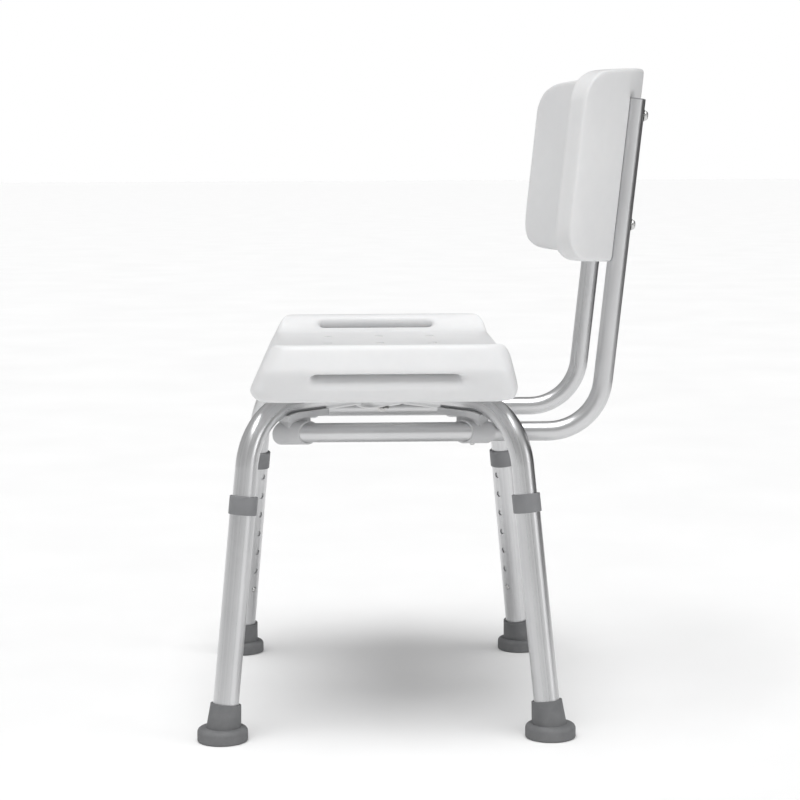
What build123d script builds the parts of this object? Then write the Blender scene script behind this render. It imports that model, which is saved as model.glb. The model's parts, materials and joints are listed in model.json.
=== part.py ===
"""Aluminium shower chair with a moulded seat, a lift-out back and height-adjustable legs.

Millimetres. +Z is up, -Y is the front and +X is the sitter's left. The origin is on the floor,
under the middle of the whole chair.
"""

import os
from math import asin, atan2, cos, degrees, hypot, radians, sin, tan

from build123d import *

os.makedirs("parts", exist_ok=True)

BOLT_R = 3.0
GAP = 0.3  # clearance between pieces that move past each other
TOUCH = 0.05  # clearance of a snug seat

# Feet and legs
FEET_Y = -49.0  # middle of the four feet
FOOT_X = 211.2  # foot centre to the middle plane
FOOT_Y = 183.0  # foot centre to the middle of the four feet
SPLAY = 8.26  # lean of each leg, degrees
LEG_R = 14.3
LEG_WALL = 1.3
LEG_LOW = 12.0  # distances along a leg are measured from the floor
LEG_HIGH = 270.5
COLLAR_LOW = 252.0
COLLAR_HIGH = 273.0
COLLAR_R = 15.9
FOOT_R = 28.2
FOOT_FLANGE = 15.0
BOOT_LOW = 8.0
BOOT_HIGH = 40.5
BOOT_R = 20.0
BOOT_TAPER = 5.0
HOLE_PITCH = 25.4
HOLE_COUNT = 7
HOLE_R = 3.6
FIRST_HOLE = 89.2

# Bows: two crossed arches of bent tube that carry the seat
BOW_R = 12.7
BOW_WALL = 1.3
BOW_Z = 367.0
BOW_BEND = 76.0
BOW_END = 71.0
PRESSED = 16.0  # height of each bow where it is pressed flat at the crossing
PRESSED_HALF_WIDTH = 16.6
PRESSED_HALF = 19.0
PRESSED_RUN = 44.0

# Back frame
BACK_TUBE_R = 11.1
BACK_TUBE_WALL = 1.2
BACK_TUBE_X = 123.2
BACK_TUBE_Z = 333.0
BACK_TUBE_FRONT = FEET_Y - 101.5
BACK_BEND = 63.0
BACK_Y = FEET_Y + 244.0  # where the uprights' line meets the height of the lower run
RECLINE = 6.27
BACK_TOP = 708.0
BACK_BUTTON_Y = FEET_Y + 101.0
BACK_BOLT_HEIGHTS = (568.6, 690.8)

# Brackets that hang under the bows and hold the back frame
SOCKET_R = 13.4
FRONT_SOCKET_NEAR = 86.0  # where the sockets' ends cross their axis
REAR_SOCKET_NEAR = 90.0
SOCKET_FAR = 115.0
FLANGE_WIDTH = 25.0
FLANGE_BASE = 4.2
FLANGE_EDGE = 7.2
FLANGE_START = 110.0
FLANGE_END = 182.0
BOLT_HEAD_R = 6.0
SEAT_BOLT_U = 118.5  # seat bolts, distance from the crossing along a bow
WEB_START = 136.0
WEB_END = 174.0
WEB_WIDTH = 14.0
WEB_LOW = 341.0

# Small parts of the legs
COLLAR_EDGE = 1.0
FOOT_TOP_EDGE = 5.0
FOOT_SOLE_EDGE = 1.5
FOOT_WASHER = 1.5
SOLE_GROOVES = (11.0, 16.5, 22.0)
SOLE_GROOVE = 2.4
SOLE_GROOVE_DEPTH = 2.0
BUTTON_R = 3.2
BUTTON_PROUD = 2.0
SHOULDER = 1.2
SHOULDER_R = 4.4
LEG_SHOULDER = 10.1
SPRING_TAIL = 6.0
SPRING_BEND = 4.0
SPRING_LENGTH = 38.0
SPRING_STRIP = 0.6
LEG_SPRING_FAR = 10.2
LEG_SPRING_WIDTH = 7.0
BACK_SHOULDER = 8.6
BACK_SPRING_FAR = 8.5
BACK_SPRING_WIDTH = 6.0

# Seat
SEAT_HALF_X = 250.0
SEAT_Z = 379.8
SEAT_TOP = 441.7
SEAT_SURFACE = 421.5
SEAT_FRONT = FEET_Y - 146.0
SEAT_REAR = FEET_Y + 144.0
RIM_CREST_X = 236.0
RIM_CREST_HALF = 5.0
RIM_SHOULDER_Z = 414.0
RIM_INNER_X = 206.0
SEAT_WALL = 3.0
GRIP_FRONT = FEET_Y - 80.5
GRIP_REAR = FEET_Y + 83.5
GRIP_HEIGHT = 13.0
GRIP_RISE = 36.0  # the hand slots climb inwards, degrees
GRIP_Z = 403.5
GRIP_DEPTH = 70.0
DRAIN_R = 4.5
DRAIN_WALL = 2.5
DRAIN_GRID = (96.0, 64.0, 4, 3)
SEAT_CORNER = 30.0
SEAT_PROFILE_EDGE = 6.0
FRONT_TUCK = (7.0, 12.0)  # the front's lower edge: how far under and how high
FRONT_LEAN = 21.0
REAR_TUCK = (4.0, 14.0)
REAR_LEAN = 12.0
RIM_EDGE = 7.0
INSERT_R = 4.5
INSERT_LENGTH = 14.0
PILLAR_R = 10.0
BOLT_TIP_GAP = 2.0
CROSS_WASHER = 1.4
CROSS_WASHER_R = 9.0
CROSS_HEAD = 4.0
CROSS_HEAD_R = 5.7
BACK_WASHER = 1.0
BACK_WASHER_R = 6.4
BACK_HEAD = 3.4
BACK_HEAD_R = 5.3
HEX_R = 2.3
HEX_DEPTH = 1.6
PLUG_LIP = 1.2
PLUG_DEPTH = 12.0

# Backrest
PANEL_LOW = 523.5  # lowest and highest points of the panel's bowed edges, in the middle
PANEL_HIGH = 745.5
PANEL_SIDE_LOW = 531.0  # where the bowed edges would meet the sides
PANEL_SIDE_HIGH = 736.5
PANEL_HALF_X = 211.5
PANEL_THICK = 24.0
PANEL_CORNER = 38.0
PANEL_WALL = 2.6
PANEL_CENTRE_R = 330.0
PANEL_WING_R = 250.0
PANEL_WING_START = 20.0  # degrees round the centre arc
PANEL_WING_SWEEP = 27.5
PANEL_EDGE = 7.0
PANEL_PILLAR = 34.0  # width of the solid columns behind the bolts
PANEL_BACK = 20.0  # how far the middle of the panel stands behind the tubes' centre line

BOW_ANGLE = degrees(atan2(FOOT_Y, FOOT_X))
FOOT_U = hypot(FOOT_X, FOOT_Y)
KNEE_U = FOOT_U - BOW_Z * tan(radians(SPLAY))
CORNERS = {
    "front_left": (1, -1),
    "front_right": (-1, -1),
    "rear_left": (1, 1),
    "rear_right": (-1, 1),
}


def save(piece, label):
    """Names a finished piece and writes it."""
    piece.label = label
    export_step(piece, f"parts/{label}.step")


def bow_plane(angle):
    """Upright plane through the crossing: x runs outwards along a bow, y is up."""
    outwards = (cos(radians(angle)), sin(radians(angle)), 0)
    across = (sin(radians(angle)), -cos(radians(angle)), 0)
    return Plane(origin=(0, FEET_Y, 0), x_dir=outwards, z_dir=across)


def corner_angle(side, end):
    """Plan direction of the bow half that ends over the foot at this corner."""
    return degrees(atan2(end * FOOT_Y, side * FOOT_X))


def leg_plane(side, end, distance):
    """Cross-section of a leg at a distance up its axis: z runs up the leg, x to the middle."""
    angle = radians(corner_angle(side, end))
    lean = radians(SPLAY)
    up = (-cos(angle) * sin(lean), -sin(angle) * sin(lean), cos(lean))
    inwards = (-cos(angle) * cos(lean), -sin(angle) * cos(lean), -sin(lean))
    foot = (side * FOOT_X, FEET_Y + end * FOOT_Y, 0)
    return Plane(origin=foot, x_dir=inwards, z_dir=up).offset(distance)


def bow_half_line(end_distance, start_u):
    """Centre line of half a bow, from near the crossing down to a distance along the leg."""
    lean = radians(SPLAY)
    end = (FOOT_U - end_distance * sin(lean), end_distance * cos(lean))
    return [(start_u, BOW_Z), (KNEE_U, BOW_Z), end]


def button_plane(side, end, distance):
    """Plane through a leg's axis whose z points at the middle of the chair, as the buttons do."""
    section = leg_plane(side, end, distance)
    return Plane(origin=section.origin, x_dir=section.y_dir, z_dir=section.x_dir)


def level_plane(angle, u, z):
    """Level plane at a distance u from the crossing along a bow."""
    return Plane(bow_plane(angle).from_local_coords((u, z, 0)))


# Bows

def bow_skin(angle, radius, pressed_z, pressed_half_height, pressed_half_width):
    """Solid envelope of one whole bow with its pressed middle."""
    plane = bow_plane(angle)
    straight_start = Plane(
        origin=plane.from_local_coords((PRESSED_RUN, BOW_Z, 0)),
        x_dir=-plane.z_dir,
        z_dir=plane.x_dir,
    )
    with BuildPart() as skin:
        with BuildLine(plane) as run:
            FilletPolyline(*bow_half_line(BOW_END, PRESSED_RUN), radius=BOW_BEND)
        with BuildSketch(straight_start):
            Circle(radius)
        sweep(path=run.wire())
        mirror(about=Plane(origin=plane.origin, z_dir=plane.x_dir))
        sections = []
        for u in (PRESSED_RUN, PRESSED_HALF, 0, -PRESSED_HALF, -PRESSED_RUN):
            with BuildSketch(straight_start.offset(u - PRESSED_RUN)) as section:
                if abs(u) == PRESSED_RUN:
                    Circle(radius)
                else:
                    with Locations((0, pressed_z - BOW_Z)):
                        Ellipse(pressed_half_width, pressed_half_height)
            sections.append(section.sketch)
        loft(sections)
    return skin.part


def make_bow(label, angle, pressed_z, corners):
    """One arch of bent tube, drilled for the seat bolts, the centre bolt and the buttons."""
    inner = (PRESSED / 2 - BOW_WALL, PRESSED_HALF_WIDTH - BOW_WALL)
    with BuildPart() as bow:
        add(bow_skin(angle, BOW_R, pressed_z, PRESSED / 2, PRESSED_HALF_WIDTH))
        add(bow_skin(angle, BOW_R - BOW_WALL, pressed_z, *inner), mode=Mode.SUBTRACT)
        for u in (-SEAT_BOLT_U, 0, SEAT_BOLT_U):
            with BuildSketch(level_plane(angle, u, BOW_Z)):
                Circle(BOLT_R + GAP)
            extrude(amount=2 * BOW_R, both=True, mode=Mode.SUBTRACT)
        for name in corners:
            with BuildSketch(button_plane(*CORNERS[name], FIRST_HOLE)):
                Circle(HOLE_R)
            extrude(amount=LEG_R, mode=Mode.SUBTRACT)
    save(bow.part, label)


UPPER_PRESSED_Z = BOW_Z + BOW_R - PRESSED / 2
LOWER_PRESSED_Z = UPPER_PRESSED_Z - PRESSED
make_bow("leg_bow_upper", BOW_ANGLE, UPPER_PRESSED_Z, ("rear_left", "front_right"))
make_bow("leg_bow_lower", -BOW_ANGLE, LOWER_PRESSED_Z, ("front_left", "rear_right"))


# Legs: tube, collar, foot and the steel washer in the foot

def make_leg_extension(label, side, end):
    """Outer leg tube with a row of height holes on the side that faces the middle."""
    with BuildPart() as tube:
        with BuildSketch(leg_plane(side, end, LEG_LOW)):
            Circle(LEG_R)
            Circle(LEG_R - LEG_WALL, mode=Mode.SUBTRACT)
        extrude(amount=LEG_HIGH - LEG_LOW)
        for hole in range(HOLE_COUNT):
            with BuildSketch(button_plane(side, end, FIRST_HOLE + hole * HOLE_PITCH)):
                Circle(HOLE_R)
            extrude(amount=2 * LEG_R, mode=Mode.SUBTRACT)
    save(tube.part, label)


def make_leg_collar(label, side, end):
    """Plastic collar that caps the outer tube and guides the inner one."""
    with BuildPart() as collar:
        with BuildSketch(leg_plane(side, end, COLLAR_LOW)):
            Circle(COLLAR_R)
        extrude(amount=COLLAR_HIGH - COLLAR_LOW)
        fillet(collar.edges().filter_by(GeomType.CIRCLE), radius=COLLAR_EDGE)
        with BuildSketch(leg_plane(side, end, COLLAR_LOW)):
            Circle(LEG_R + TOUCH)
        extrude(amount=LEG_HIGH + TOUCH - COLLAR_LOW, mode=Mode.SUBTRACT)
        with BuildSketch(leg_plane(side, end, COLLAR_LOW)):
            Circle(BOW_R + GAP)
        extrude(amount=COLLAR_HIGH - COLLAR_LOW, mode=Mode.SUBTRACT)
    save(collar.part, label)


def make_rubber_foot(label, side, end):
    """Level sole and flange with a boot that leans with the leg."""
    floor = Plane(origin=(side * FOOT_X, FEET_Y + end * FOOT_Y, 0))
    with BuildPart() as foot:
        with BuildSketch(floor):
            Circle(FOOT_R)
        extrude(amount=FOOT_FLANGE)
        rims = foot.edges().filter_by(GeomType.CIRCLE).sort_by(Axis.Z)
        fillet(rims[-1], radius=FOOT_TOP_EDGE)
        fillet(foot.edges().filter_by(GeomType.CIRCLE).sort_by(Axis.Z)[0], radius=FOOT_SOLE_EDGE)
        with BuildSketch(leg_plane(side, end, BOOT_LOW)):
            Circle(BOOT_R)
        extrude(amount=BOOT_HIGH - BOOT_LOW, taper=BOOT_TAPER)
        with BuildSketch(leg_plane(side, end, LEG_LOW - FOOT_WASHER)):
            Circle(LEG_R + TOUCH)
        extrude(amount=BOOT_HIGH, mode=Mode.SUBTRACT)
        for radius in SOLE_GROOVES:
            with BuildSketch(floor):
                Circle(radius + SOLE_GROOVE / 2)
                Circle(radius - SOLE_GROOVE / 2, mode=Mode.SUBTRACT)
            extrude(amount=SOLE_GROOVE_DEPTH, mode=Mode.SUBTRACT)
    save(foot.part, label)


def make_foot_washer(label, side, end):
    """Steel washer that keeps the tube from cutting through the sole."""
    with BuildPart() as washer:
        with BuildSketch(leg_plane(side, end, LEG_LOW - FOOT_WASHER)):
            Circle(LEG_R)
            Circle(LEG_R / 3, mode=Mode.SUBTRACT)
        extrude(amount=FOOT_WASHER)
    save(washer.part, label)


# Snap buttons and their leaf springs

def make_button(label, plane, shoulder_top, tip):
    """Domed steel button with a shoulder that stays inside its tube."""
    with BuildPart() as button:
        with BuildSketch(plane.offset(shoulder_top - SHOULDER)):
            Circle(SHOULDER_R)
        extrude(amount=SHOULDER)
        with BuildSketch(plane.offset(shoulder_top)):
            Circle(BUTTON_R)
        extrude(amount=tip - shoulder_top)
        dome = button.faces().filter_by(GeomType.PLANE).sort_by(Axis(plane.origin, plane.z_dir))[-1]
        fillet(dome.edges(), radius=BUTTON_R * 0.7)
    save(button.part, label)


def make_spring(label, plane, near, far, width):
    """V-shaped strip spring: x of the plane is the button's direction, y runs along the tube."""
    with BuildPart() as spring:
        with BuildSketch(plane):
            with BuildLine():
                Polyline((near, -SPRING_TAIL), (near, SPRING_TAIL), (SPRING_BEND, SPRING_LENGTH))
                ThreePointArc(
                    (SPRING_BEND, SPRING_LENGTH),
                    (0, SPRING_LENGTH + SPRING_BEND),
                    (-SPRING_BEND, SPRING_LENGTH),
                )
                Line((-SPRING_BEND, SPRING_LENGTH), (far, 0))
            trace(line_width=SPRING_STRIP)
        extrude(amount=width / 2, both=True)
    save(spring.part, label)


for corner, (side, end) in CORNERS.items():
    make_leg_extension(f"leg_extension_{corner}", side, end)
    make_leg_collar(f"leg_collar_{corner}", side, end)
    make_rubber_foot(f"rubber_foot_{corner}", side, end)
    make_foot_washer(f"foot_washer_{corner}", side, end)
    push = button_plane(side, end, FIRST_HOLE)
    make_button(f"leg_button_{corner}", push, LEG_SHOULDER, LEG_R + BUTTON_PROUD)
    section = leg_plane(side, end, FIRST_HOLE)
    along = Plane(origin=section.origin, x_dir=section.x_dir, z_dir=-section.y_dir)
    make_spring(
        f"leg_spring_{corner}",
        along,
        LEG_SHOULDER - SHOULDER - SPRING_STRIP / 2 - TOUCH,
        -LEG_SPRING_FAR,
        LEG_SPRING_WIDTH,
    )


# Brackets

def socket_end(x, side, end, on_axis):
    """Y of a socket's end face at x: both end faces run parallel to the bow."""
    return FEET_Y + end * (on_axis + (side * x - BACK_TUBE_X) * FOOT_Y / FOOT_X)


def make_bracket(label, side, end):
    """Socket for the back frame's tube under a trough that fits the bow."""
    angle = corner_angle(side, end)
    plane = bow_plane(angle)
    x_axis = side * BACK_TUBE_X
    flange_start = Plane(
        origin=plane.from_local_coords((FLANGE_START, BOW_Z, 0)),
        x_dir=-plane.z_dir,
        z_dir=plane.x_dir,
    )
    straight_end = KNEE_U - BOW_BEND * tan(radians(90 - SPLAY) / 2)
    flange_turn = degrees(asin((FLANGE_END - straight_end) / BOW_BEND))
    trough = FLANGE_BASE + BOW_R
    xs = (x_axis - 2 * SOCKET_R, x_axis + 2 * SOCKET_R)
    near = REAR_SOCKET_NEAR if end > 0 else FRONT_SOCKET_NEAR
    with BuildPart() as bracket:
        with BuildSketch(Plane(origin=(x_axis, FEET_Y, BACK_TUBE_Z), z_dir=(0, end, 0))):
            Circle(SOCKET_R)
        extrude(amount=2 * SOCKET_FAR)
        with BuildSketch(Plane.XY.offset(BACK_TUBE_Z - SOCKET_R)):
            with BuildLine():
                Polyline(
                    (xs[0], socket_end(xs[0], side, end, near)),
                    (xs[1], socket_end(xs[1], side, end, near)),
                    (xs[1], socket_end(xs[1], side, end, SOCKET_FAR)),
                    (xs[0], socket_end(xs[0], side, end, SOCKET_FAR)),
                    close=True,
                )
            make_face()
        extrude(amount=2 * SOCKET_R, mode=Mode.INTERSECT)
        with BuildSketch(level_plane(angle, (WEB_START + WEB_END) / 2, WEB_LOW)):
            with Locations(Location((0, 0, 0), angle)):
                Rectangle(WEB_END - WEB_START, WEB_WIDTH)
        extrude(amount=BOW_Z - BOW_R - FLANGE_BASE / 2 - WEB_LOW)
        with BuildLine(plane) as run:
            straight = Line((FLANGE_START, BOW_Z), (straight_end, BOW_Z))
            JernArc(start=straight @ 1, tangent=(1, 0), radius=BOW_BEND, arc_size=-flange_turn)
        with BuildSketch(flange_start):
            with Locations((0, FLANGE_EDGE / 2 - trough)):
                Rectangle(FLANGE_WIDTH, FLANGE_EDGE)
        sweep(path=run.wire())
        with BuildSketch(flange_start):
            Circle(BOW_R + TOUCH)
        sweep(path=run.wire(), mode=Mode.SUBTRACT)
        bore_start = BACK_TUBE_FRONT - 2 * TOUCH if end < 0 else FEET_Y
        with BuildSketch(Plane(origin=(x_axis, bore_start, BACK_TUBE_Z), z_dir=(0, 1, 0))):
            Circle(BACK_TUBE_R + GAP)
        extrude(amount=2 * SOCKET_FAR, mode=Mode.SUBTRACT)
        if end > 0:
            with BuildSketch(back_button_plane(side)):
                Circle(HOLE_R)
            extrude(amount=2 * SOCKET_R, mode=Mode.SUBTRACT)
        with BuildSketch(level_plane(angle, SEAT_BOLT_U, BOW_Z - trough)):
            Circle(BOLT_R + GAP)
        extrude(amount=trough, mode=Mode.SUBTRACT)
        with BuildSketch(level_plane(angle, SEAT_BOLT_U, BOW_Z - trough)):
            Circle(BOLT_HEAD_R + GAP)
        extrude(amount=BOLT_HEAD_R - BOLT_R, taper=45, mode=Mode.SUBTRACT)
    save(bracket.part, label)


def back_button_plane(side):
    """Plane on the lower run's centre line whose z points down, as the back buttons do."""
    origin = (side * BACK_TUBE_X, BACK_BUTTON_Y, BACK_TUBE_Z)
    return Plane(origin=origin, x_dir=(0, 1, 0), z_dir=(0, 0, -1))


for corner, (side, end) in CORNERS.items():
    make_bracket(f"bracket_{corner}", side, end)


# Seat

def seat_form(inset):
    """Moulded seat as a solid: the outer skin at inset 0, the inner skin at the wall's thickness."""
    rim = [
        (SEAT_HALF_X, SEAT_Z),
        (SEAT_HALF_X, RIM_SHOULDER_Z),
        (RIM_CREST_X + RIM_CREST_HALF, SEAT_TOP),
        (RIM_CREST_X - RIM_CREST_HALF, SEAT_TOP),
        (RIM_INNER_X, SEAT_SURFACE),
    ]
    mirrored_rim = [(-x, z) for x, z in reversed(rim)]
    with BuildPart() as form:
        with BuildSketch(Plane.YZ):
            with BuildLine():
                Polyline(
                    (SEAT_FRONT + FRONT_TUCK[0], SEAT_Z),
                    (SEAT_FRONT, SEAT_Z + FRONT_TUCK[1]),
                    (SEAT_FRONT + FRONT_LEAN, SEAT_TOP),
                    (SEAT_REAR - REAR_LEAN, SEAT_TOP),
                    (SEAT_REAR, SEAT_Z + REAR_TUCK[1]),
                    (SEAT_REAR - REAR_TUCK[0], SEAT_Z),
                    close=True,
                )
            profile = make_face()
            fillet(profile.vertices(), radius=SEAT_PROFILE_EDGE)
            if inset:
                offset(amount=-inset)
        extrude(amount=SEAT_HALF_X + 1, both=True)
        with BuildSketch(Plane.XZ.offset(-SEAT_REAR - 1)):
            with BuildLine():
                Polyline(*rim, *mirrored_rim, close=True)
            section = make_face()
            fillet(section.vertices().filter_by_position(Axis.Y, SEAT_Z + 1, SEAT_TOP + 1), radius=RIM_EDGE)
            if inset:
                offset(amount=-inset)
        extrude(amount=SEAT_REAR - SEAT_FRONT + 2, mode=Mode.INTERSECT)
        with BuildSketch(Plane.XY.offset(SEAT_Z - 1)):
            with Locations((0, (SEAT_FRONT + SEAT_REAR) / 2)):
                RectangleRounded(2 * SEAT_HALF_X, SEAT_REAR - SEAT_FRONT, SEAT_CORNER)
            if inset:
                offset(amount=-inset)
        extrude(amount=SEAT_TOP - SEAT_Z + 2, mode=Mode.INTERSECT)
    return form.part


def grip_plane(side):
    """Plane across a hand slot at the seat's side wall: z points inwards and up."""
    rise = radians(GRIP_RISE)
    return Plane(
        origin=(side * SEAT_HALF_X, (GRIP_FRONT + GRIP_REAR) / 2, GRIP_Z),
        x_dir=(0, 1, 0),
        z_dir=(-side * cos(rise), 0, sin(rise)),
    )


def bolt_places():
    """Plan positions of the four seat bolts and the centre bolt."""
    places = [(0, FEET_Y)]
    for side, end in CORNERS.values():
        angle = radians(corner_angle(side, end))
        places.append((SEAT_BOLT_U * cos(angle), FEET_Y + SEAT_BOLT_U * sin(angle)))
    return places


def make_seat():
    """Hollow moulded seat with hand slots, drain tubes and solid pillars for its inserts."""
    skin = seat_form(0)
    drain_centre = (0, (SEAT_FRONT + SEAT_REAR) / 2)
    slot = (GRIP_REAR - GRIP_FRONT, GRIP_HEIGHT * cos(radians(GRIP_RISE)))
    with BuildPart() as cavity:
        add(seat_form(SEAT_WALL))
        with BuildSketch(Plane.XY.offset(SEAT_Z)):
            with Locations(*bolt_places()):
                Circle(PILLAR_R)
            with Locations(drain_centre):
                with GridLocations(*DRAIN_GRID):
                    Circle(DRAIN_R + DRAIN_WALL)
        extrude(amount=SEAT_TOP - SEAT_Z, mode=Mode.SUBTRACT)
        for side in (-1, 1):
            with BuildSketch(grip_plane(side).offset(-GRIP_DEPTH / 2)):
                SlotOverall(slot[0] + 2 * SEAT_WALL, slot[1] + 2 * SEAT_WALL)
            extrude(amount=1.5 * GRIP_DEPTH, mode=Mode.SUBTRACT)
    with BuildPart() as seat:
        add(skin)
        add(cavity.part, mode=Mode.SUBTRACT)
        with BuildSketch(Plane.XY.offset(SEAT_Z)):
            with Locations(drain_centre):
                with GridLocations(*DRAIN_GRID):
                    Circle(DRAIN_R)
        extrude(amount=SEAT_TOP - SEAT_Z, mode=Mode.SUBTRACT)
        with BuildSketch(Plane.XY.offset(SEAT_Z)):
            with Locations(*bolt_places()):
                Circle(INSERT_R)
        extrude(amount=INSERT_LENGTH, mode=Mode.SUBTRACT)
        for side in (-1, 1):
            with BuildSketch(grip_plane(side).offset(-GRIP_DEPTH / 2)):
                SlotOverall(*slot)
            extrude(amount=1.5 * GRIP_DEPTH, mode=Mode.SUBTRACT)
    save(seat.part, "seat")


make_seat()

with BuildPart() as seat_inserts:
    with BuildSketch(Plane.XY.offset(SEAT_Z)):
        with Locations(*bolt_places()):
            Circle(INSERT_R - TOUCH)
            Circle(BOLT_R + TOUCH, mode=Mode.SUBTRACT)
    extrude(amount=INSERT_LENGTH - TOUCH)
save(seat_inserts.part, "seat_inserts")

bolt_head_z = BOW_Z - BOW_R - FLANGE_BASE
with BuildPart() as seat_bolts:
    with BuildSketch(Plane.XY.offset(bolt_head_z)):
        with Locations(*bolt_places()[1:]):
            Circle(BOLT_HEAD_R)
    extrude(amount=BOLT_HEAD_R - BOLT_R, taper=45)
    with BuildSketch(Plane.XY.offset(bolt_head_z)):
        with Locations(*bolt_places()[1:]):
            Circle(BOLT_R)
    extrude(amount=SEAT_Z + INSERT_LENGTH - BOLT_TIP_GAP - bolt_head_z)
save(seat_bolts.part, "seat_bolts")

washer_z = LOWER_PRESSED_Z - PRESSED / 2 - CROSS_WASHER - TOUCH
with BuildPart() as cross_washer:
    with BuildSketch(Plane.XY.offset(washer_z)):
        with Locations((0, FEET_Y)):
            Circle(CROSS_WASHER_R)
            Circle(BOLT_R + GAP, mode=Mode.SUBTRACT)
    extrude(amount=CROSS_WASHER)
save(cross_washer.part, "cross_washer")

with BuildPart() as cross_bolt:
    with BuildSketch(Plane.XY.offset(washer_z - CROSS_HEAD)):
        with Locations((0, FEET_Y)):
            RegularPolygon(CROSS_HEAD_R, 6)
    extrude(amount=CROSS_HEAD)
    with BuildSketch(Plane.XY.offset(washer_z)):
        with Locations((0, FEET_Y)):
            Circle(BOLT_R)
    extrude(amount=SEAT_Z + INSERT_LENGTH - BOLT_TIP_GAP - washer_z)
save(cross_bolt.part, "cross_bolt")


# Back frame

def back_line(height, behind=0):
    """Point on the uprights' centre line in plan x = 0, or squarely behind it."""
    recline = radians(RECLINE)
    y = BACK_Y + (height - BACK_TUBE_Z) * tan(recline)
    return (0, y + behind * cos(recline), height - behind * sin(recline))


def back_plane(x, height, behind):
    """Plane square to a back bolt: z points to the rear, y runs up the upright."""
    origin = back_line(height, behind)
    recline = radians(RECLINE)
    return Plane(
        origin=(x, origin[1], origin[2]),
        x_dir=(-1, 0, 0),
        z_dir=(0, cos(recline), -sin(recline)),
    )


def back_section(height):
    """Plane square to the uprights: y points to the rear and z up the upright."""
    recline = radians(RECLINE)
    return Plane(
        origin=back_line(height),
        x_dir=(1, 0, 0),
        z_dir=(0, sin(recline), cos(recline)),
    )


def make_back_tube(label, side):
    """Bent tube: a level run for the sockets, one bend and a leaning upright."""
    x = side * BACK_TUBE_X
    upright_plane = Plane(origin=(x, 0, 0), x_dir=(0, 1, 0), z_dir=(1, 0, 0))
    mouth = Plane(origin=(x, BACK_TUBE_FRONT, BACK_TUBE_Z), z_dir=(0, 1, 0))
    with BuildPart() as tube:
        with BuildLine(upright_plane) as run:
            FilletPolyline(
                (BACK_TUBE_FRONT, BACK_TUBE_Z),
                (BACK_Y, BACK_TUBE_Z),
                back_line(BACK_TOP)[1:],
                radius=BACK_BEND,
            )
        with BuildSketch(mouth):
            Circle(BACK_TUBE_R)
            Circle(BACK_TUBE_R - BACK_TUBE_WALL, mode=Mode.SUBTRACT)
        sweep(path=run.wire())
        for height in BACK_BOLT_HEIGHTS:
            with BuildSketch(back_plane(x, height, 0)):
                Circle(BOLT_R + GAP)
            extrude(amount=2 * BACK_TUBE_R, both=True, mode=Mode.SUBTRACT)
        with BuildSketch(back_button_plane(side)):
            Circle(HOLE_R)
        extrude(amount=2 * BACK_TUBE_R, mode=Mode.SUBTRACT)
    save(tube.part, label)


def make_back_plug(label, side):
    """Plastic plug pushed into the upright's open top."""
    section = back_section(BACK_TOP)
    top = Plane(origin=section.origin + Vector(side * BACK_TUBE_X, 0, 0), z_dir=section.z_dir)
    with BuildPart() as plug:
        with BuildSketch(top.offset(TOUCH)):
            Circle(BACK_TUBE_R)
        extrude(amount=PLUG_LIP)
        fillet(plug.edges().sort_by(Axis(top.origin, top.z_dir))[-1], radius=PLUG_LIP * 0.8)
        with BuildSketch(top.offset(-PLUG_DEPTH)):
            Circle(BACK_TUBE_R - BACK_TUBE_WALL - TOUCH)
        extrude(amount=PLUG_DEPTH + PLUG_LIP / 2)
    save(plug.part, label)


for hand, side in (("left", 1), ("right", -1)):
    make_back_tube(f"back_tube_{hand}", side)
    make_back_plug(f"back_tube_plug_{hand}", side)
    push = back_button_plane(side)
    make_button(f"back_button_{hand}", push, BACK_SHOULDER, SOCKET_R + BUTTON_PROUD)
    along = Plane(origin=push.origin, x_dir=(0, 0, -1), z_dir=(1, 0, 0))
    make_spring(
        f"back_spring_{hand}",
        along,
        BACK_SHOULDER - SHOULDER - SPRING_STRIP / 2 - TOUCH,
        -BACK_SPRING_FAR,
        BACK_SPRING_WIDTH,
    )


# Backrest

def panel_form(inset):
    """Curved moulded panel as a solid, thinner all round by the inset."""
    start = radians(PANEL_WING_START)
    shift = PANEL_CENTRE_R - PANEL_WING_R
    centre = (0, PANEL_BACK - PANEL_CENTRE_R)
    wing_centre = (shift * sin(start), centre[1] + shift * cos(start))
    sweep_angle = PANEL_WING_SWEEP - degrees(inset / PANEL_WING_R)
    height = PANEL_HIGH - PANEL_LOW
    with BuildPart() as form:
        with BuildSketch(back_section(PANEL_LOW - PANEL_CORNER)):
            with BuildLine():
                apexes = []
                tips = []
                for radius in (PANEL_CENTRE_R - inset, PANEL_CENTRE_R - PANEL_THICK + inset):
                    middle = CenterArc(centre, radius, 90 - PANEL_WING_START, PANEL_WING_START)
                    wing_end = 90 - PANEL_WING_START - sweep_angle
                    wing = CenterArc(wing_centre, radius - shift, wing_end, sweep_angle)
                    apexes.append(middle @ 1)
                    tips.append(wing @ 0)
                Line(*apexes)
                Line(*tips)
            half = make_face()
            if not inset:
                fillet(half.vertices().sort_by(Axis.X)[-2:], radius=PANEL_EDGE)
            mirror(about=Plane.YZ)
        extrude(amount=height + 2 * PANEL_CORNER)
        with BuildSketch(Plane.XZ):
            with BuildLine():
                edge_x = PANEL_HALF_X
                low = [(-edge_x, PANEL_SIDE_LOW), (0, PANEL_LOW), (edge_x, PANEL_SIDE_LOW)]
                high = [(edge_x, PANEL_SIDE_HIGH), (0, PANEL_HIGH), (-edge_x, PANEL_SIDE_HIGH)]
                ThreePointArc(*low)
                Line(low[-1], high[0])
                ThreePointArc(*high)
                Line(high[-1], low[0])
            front_view = make_face()
            fillet(front_view.vertices(), radius=PANEL_CORNER)
            if inset:
                offset(amount=-inset)
        extrude(amount=-2 * PANEL_CENTRE_R, mode=Mode.INTERSECT)
    return form.part


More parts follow.
